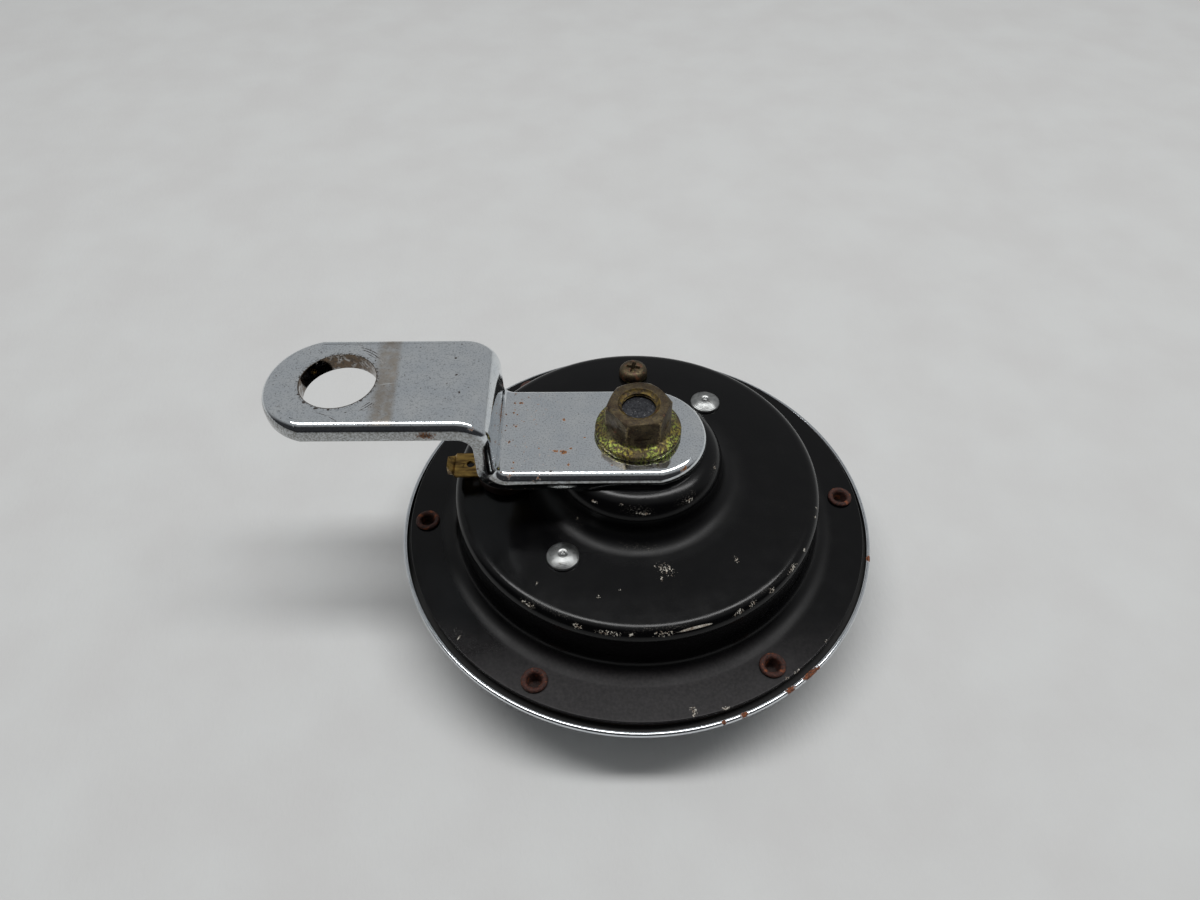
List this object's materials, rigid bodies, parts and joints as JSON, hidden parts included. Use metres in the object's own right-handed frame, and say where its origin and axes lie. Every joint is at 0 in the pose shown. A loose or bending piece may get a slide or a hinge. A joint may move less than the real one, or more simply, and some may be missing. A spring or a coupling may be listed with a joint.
{
  "type": "car horn",
  "caption": "Electric disc horn for a car: stepped black rear housing riveted to a chromed dished front cover, with a cranked flat bracket and a spade terminal.",
  "frame": {"origin": "centre of the front cover's flat middle, on the horn's axis, where it rests", "axes": "+Z along the horn's axis from the front cover to the stud; +X away from the bracket's free leg, which with the terminal points to -X; +Y completes a right-handed frame"},
  "size_m": [0.1276, 0.107, 0.0594],
  "materials": {
    "chrome_cover": "polished chrome with light rust specks",
    "gasket_paper": "oiled gasket paper",
    "spring_steel": "cold-rolled spring steel",
    "black_enamel": "black stoving enamel, satin, chipped",
    "rusty_steel": "bare steel gone brown with rust",
    "soft_steel": "turned or pressed mild steel",
    "aluminium_rivet": "spun aluminium, satin",
    "bobbin_plastic": "moulded, matt",
    "enamelled_wire": "enamelled copper wire",
    "phenolic": "moulded phenolic",
    "brass_blade": "tarnished brass",
    "tungsten": "ground tungsten",
    "yellow_zinc": "yellow passivated zinc, stained",
    "chrome_bracket": "dull chrome with pits and rust"
  },
  "bodies": {
    "housing": {"front_cover": "chrome_cover", "front_gasket": "gasket_paper", "diaphragm": "spring_steel", "rear_gasket": "gasket_paper", "rear_housing": "black_enamel", "flange_rivets": "rusty_steel", "yoke_plate": "soft_steel", "yoke_rivets": "aluminium_rivet", "pole_core": "soft_steel", "coil_bobbin": "bobbin_plastic", "coil_winding": "enamelled_wire", "terminal_insulator": "phenolic", "spade_terminal": "brass_blade", "terminal_rivet": "brass_blade", "contact_block": "phenolic", "contact_insulator": "phenolic", "fixed_contact_carrier": "soft_steel", "fixed_contact": "tungsten", "contact_lead": "enamelled_wire", "earth_lead": "enamelled_wire", "mounting_bracket": "chrome_bracket", "flange_nut": "yellow_zinc"},
    "armature": {"armature": "soft_steel", "armature_rod": "soft_steel", "push_pin": "phenolic", "tone_disc_spacer": "soft_steel", "tone_disc": "spring_steel", "tone_disc_nut": "soft_steel"},
    "contact_arm": {"contact_arm": "spring_steel", "moving_contact": "tungsten"},
    "adjusting_screw": {"adjusting_screw": "yellow_zinc"}
  },
  "joints": [
    {"name": "armature_stroke", "type": "slide", "parent": "housing", "child": "armature", "axis": [0, 0, 1], "range_m": [0, 0.0006], "stiffness_N_per_m": 20000, "deforming": ["diaphragm"]},
    {"name": "contact_arm_lift", "type": "hinge", "parent": "housing", "child": "contact_arm", "pos_m": [-0.0285, 0, 0.02155], "axis": [0.7394, -0.6733, 0], "range_deg": [0, 1.8]},
    {"name": "adjusting_screw_turn", "type": "hinge", "parent": "housing", "child": "adjusting_screw", "pos_m": [0, 0.0313, 0.0307], "axis": [0, 0, 1], "range_deg": [-180, 180]}
  ],
  "couplings": [
    {"joint": "contact_arm_lift", "follows": "armature_stroke", "rad_per_m": 52.116}
  ]
}
